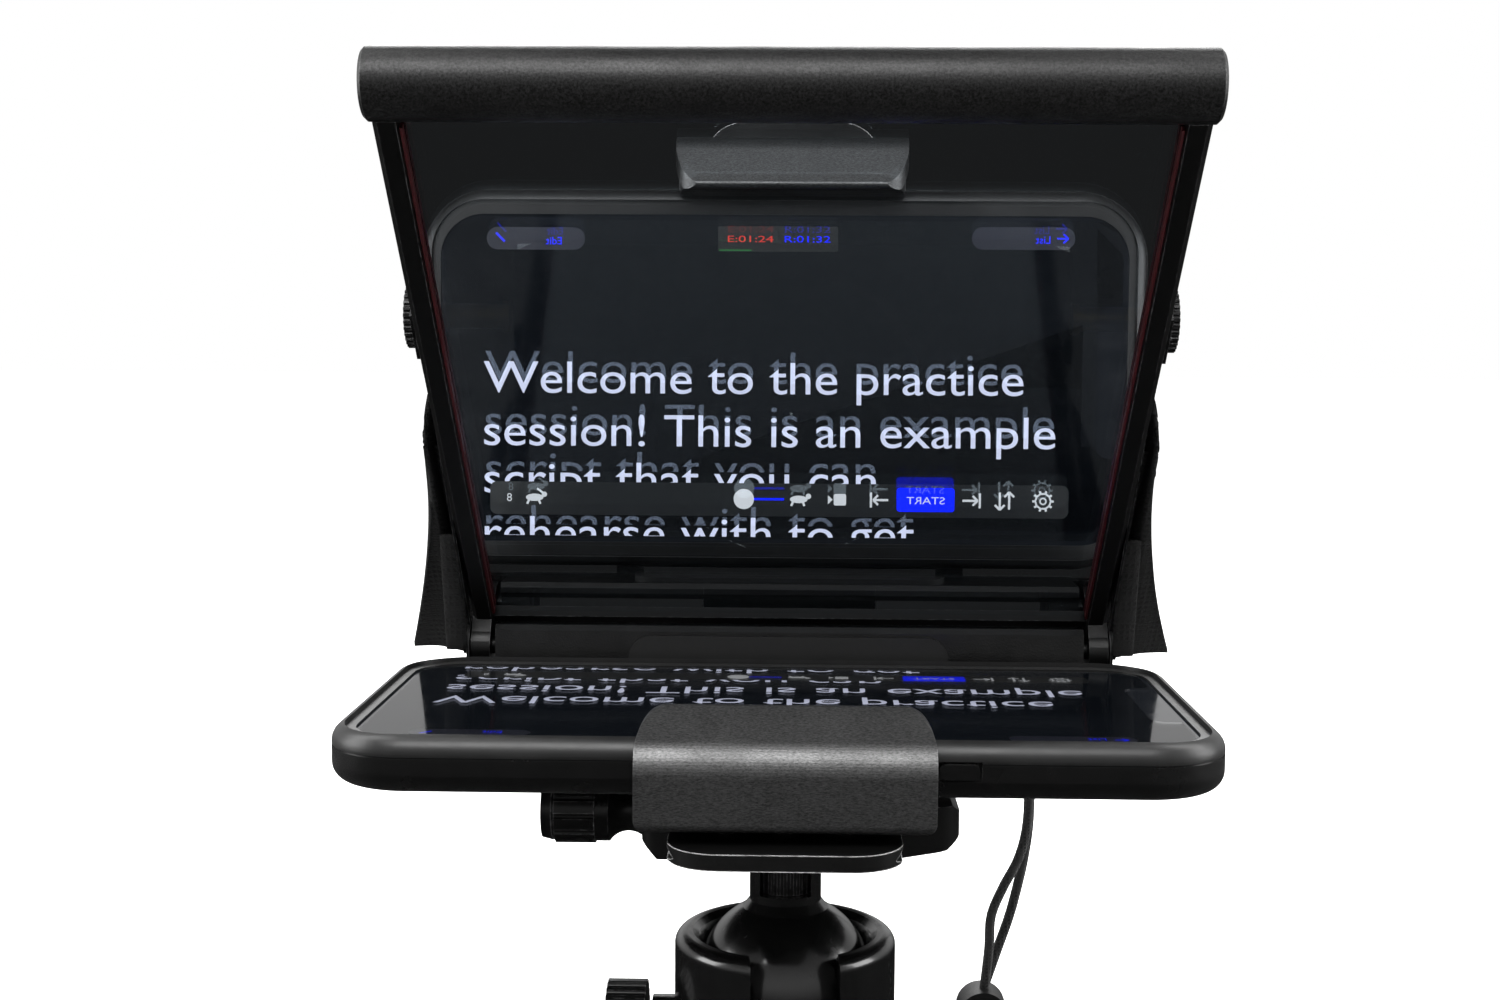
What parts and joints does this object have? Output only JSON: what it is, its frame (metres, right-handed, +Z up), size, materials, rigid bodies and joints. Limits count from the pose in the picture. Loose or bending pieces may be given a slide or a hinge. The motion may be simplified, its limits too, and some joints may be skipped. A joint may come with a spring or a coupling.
{
  "type": "phone teleprompter",
  "caption": "Phone teleprompter: a tilting beam-splitter mirror with a fabric hood over a sprung phone holder, on a rail, quick-release clamp and ball head.",
  "frame": {"origin": "centre of the mouth of the tripod socket in the underside of the ball head", "axes": "+Z up along the tripod socket, -Y towards the reader, +Y towards the camera, +X to the right as the reader faces it"},
  "size_m": [0.1626, 0.2315, 0.2192],
  "materials": {
    "black_anodised": "black anodised, fine bead-blast",
    "gunmetal_brushed": "gunmetal anodised, brushed lengthwise",
    "bar_satin": "black anodised, satin",
    "ballhead_gloss": "gloss black",
    "knob_black": "black anodised, knurled",
    "steel": "bare steel",
    "screw_black": "black oxide",
    "brass": "turned brass",
    "polymer": "bearing polymer",
    "black_plastic": "fine-textured moulded",
    "glass": "coated beam splitter",
    "hood_fabric": "black woven nylon",
    "fastening": "hook and loop",
    "cord": "braided black cord",
    "rubber_pad": "matte silicone rubber",
    "case_rubber": "matte soft-touch",
    "phone_metal": "satin dark",
    "screen": "glossy lit display",
    "film": "clear protective film"
  },
  "bodies": {
    "mounting_base": {"pan_base": "ballhead_gloss", "socket_bushing": "brass", "pan_washer": "polymer"},
    "head": {"ball_housing": "ballhead_gloss", "retaining_ring": "ballhead_gloss"},
    "pan_lock": {"pan_lock_screw": "knob_black"},
    "ball_lock": {"ball_lock_knob": "knob_black"},
    "liner": {"ball_liner": "polymer"},
    "carrier": {"ball_stem": "ballhead_gloss", "clamp_base": "black_anodised", "clamp_guide_pins": "steel"},
    "stem_wheel": {"neck_wheel": "knob_black"},
    "jaw": {"clamp_jaw": "black_anodised"},
    "jaw_knob": {"clamp_knob": "knob_black"},
    "rail": {"base_rail": "black_anodised", "tongue_screws": "screw_black", "rail_stop_screw": "screw_black", "guide_block": "black_anodised", "jaw_springs": "steel", "hinge_base": "black_plastic", "hinge_base_screws": "screw_black", "rear_pad": "rubber_pad", "left_bracket": "black_anodised", "right_bracket": "black_anodised", "hinge_pins": "steel"},
    "phone_jaw": {"front_jaw": "gunmetal_brushed", "front_jaw_pad": "rubber_pad", "guide_rods": "screw_black"},
    "phone": {"phone_case": "case_rubber", "phone_body": "phone_metal", "phone_screen": "screen", "screen_film": "film"},
    "volume_key": {"volume_button": "case_rubber"},
    "mirror": {"left_rail": "black_anodised", "right_rail": "black_anodised", "top_bar": "bar_satin", "bar_screws": "steel", "bottom_bar": "black_anodised", "beam_splitter": "glass", "left_brass_nut": "brass", "right_brass_nut": "brass", "hood_left_side": "hood_fabric", "hood_right_side": "hood_fabric", "hood_top": "hood_fabric", "hood_floor": "hood_fabric", "hood_back_panel": "hood_fabric", "lens_sleeve": "hood_fabric", "lens_ring": "hood_fabric", "fastening_strips": "fastening", "cord_grommets": "screw_black", "drawcord_front": "cord", "drawcord_rear": "cord", "cord_lock_body": "black_plastic", "cord_lock_spring": "steel"},
    "left_knob": {"left_thumb_screw": "knob_black"},
    "right_knob": {"right_thumb_screw": "knob_black"},
    "cord_button": {"cord_lock_button": "black_plastic"},
    "slider": {"camera_slider": "black_anodised", "slider_pad": "rubber_pad"},
    "screw": {"camera_screw": "steel"}
  },
  "joints": [
    {"name": "pan", "type": "hinge", "parent": "mounting_base", "child": "head", "pos_m": [0, 0, 0], "axis": [0, 0, 1], "continuous": true},
    {"name": "pan_lock_turn", "type": "hinge", "parent": "head", "child": "pan_lock", "pos_m": [0, 0, 0.018], "axis": [1, 0, 0], "range_deg": [-180, 180]},
    {"name": "ball_lock_turn", "type": "hinge", "parent": "head", "child": "ball_lock", "pos_m": [0, 0, 0.031], "axis": [1, 0, 0], "range_deg": [-120, 120]},
    {"name": "ball_roll", "type": "hinge", "parent": "head", "child": "liner", "pos_m": [0, 0, 0.0406], "axis": [0, 1, 0], "range_deg": [-20, 20]},
    {"name": "ball_tilt", "type": "hinge", "parent": "liner", "child": "carrier", "pos_m": [0, 0, 0.0406], "axis": [1, 0, 0], "range_deg": [-25, 25]},
    {"name": "stem_wheel_turn", "type": "hinge", "parent": "carrier", "child": "stem_wheel", "pos_m": [0, 0, 0.0615], "axis": [0, 0, 1], "range_deg": [-180, 180]},
    {"name": "clamp_open", "type": "slide", "parent": "carrier", "child": "jaw", "axis": [-1, 0, 0], "range_m": [0, 0.002]},
    {"name": "clamp_knob_turn", "type": "hinge", "parent": "jaw", "child": "jaw_knob", "pos_m": [-0.03, 0.004, 0.0733], "axis": [1, 0, 0], "range_deg": [0, 360]},
    {"name": "rail_slide", "type": "slide", "parent": "carrier", "child": "rail", "axis": [0, 1, 0], "range_m": [-0.02, 0.02]},
    {"name": "phone_jaw_open", "type": "slide", "parent": "rail", "child": "phone_jaw", "axis": [0, -1, 0], "range_m": [0, 0.012], "stiffness_N_per_m": 150, "springref_m": -0.01, "deforming": ["jaw_springs"]},
    {"name": "phone_slide", "type": "slide", "parent": "rail", "child": "phone", "axis": [1, 0, 0], "range_m": [0, 0.11]},
    {"name": "volume_press", "type": "slide", "parent": "phone", "child": "volume_key", "axis": [0, 1, 0], "range_m": [0, 0.0004], "stiffness_N_per_m": 800, "springref_m": -0.0002},
    {"name": "mirror_tilt", "type": "hinge", "parent": "rail", "child": "mirror", "pos_m": [0, 0.06, 0.096], "axis": [1, 0, 0], "range_deg": [-8, 0]},
    {"name": "left_knob_turn", "type": "hinge", "parent": "mirror", "child": "left_knob", "pos_m": [-0.0716, 0.0025, 0.1688], "axis": [1, 0, 0], "range_deg": [-180, 180]},
    {"name": "right_knob_turn", "type": "hinge", "parent": "mirror", "child": "right_knob", "pos_m": [0.0716, 0.0025, 0.1688], "axis": [1, 0, 0], "range_deg": [-180, 180]},
    {"name": "cord_lock_press", "type": "slide", "parent": "mirror", "child": "cord_button", "axis": [0, 1, 0], "range_m": [0, 0.003], "stiffness_N_per_m": 300, "springref_m": -0.001, "deforming": ["cord_lock_spring"]},
    {"name": "slider_move", "type": "slide", "parent": "rail", "child": "slider", "axis": [0, 1, 0], "range_m": [-0.006, 0.012]},
    {"name": "camera_screw_turn", "type": "hinge", "parent": "slider", "child": "screw", "pos_m": [0, 0.143, 0.08], "axis": [0, 0, 1], "continuous": true}
  ],
  "couplings": [
    {"joint": "clamp_knob_turn", "follows": "clamp_open", "rad_per_m": 3141.6}
  ]
}
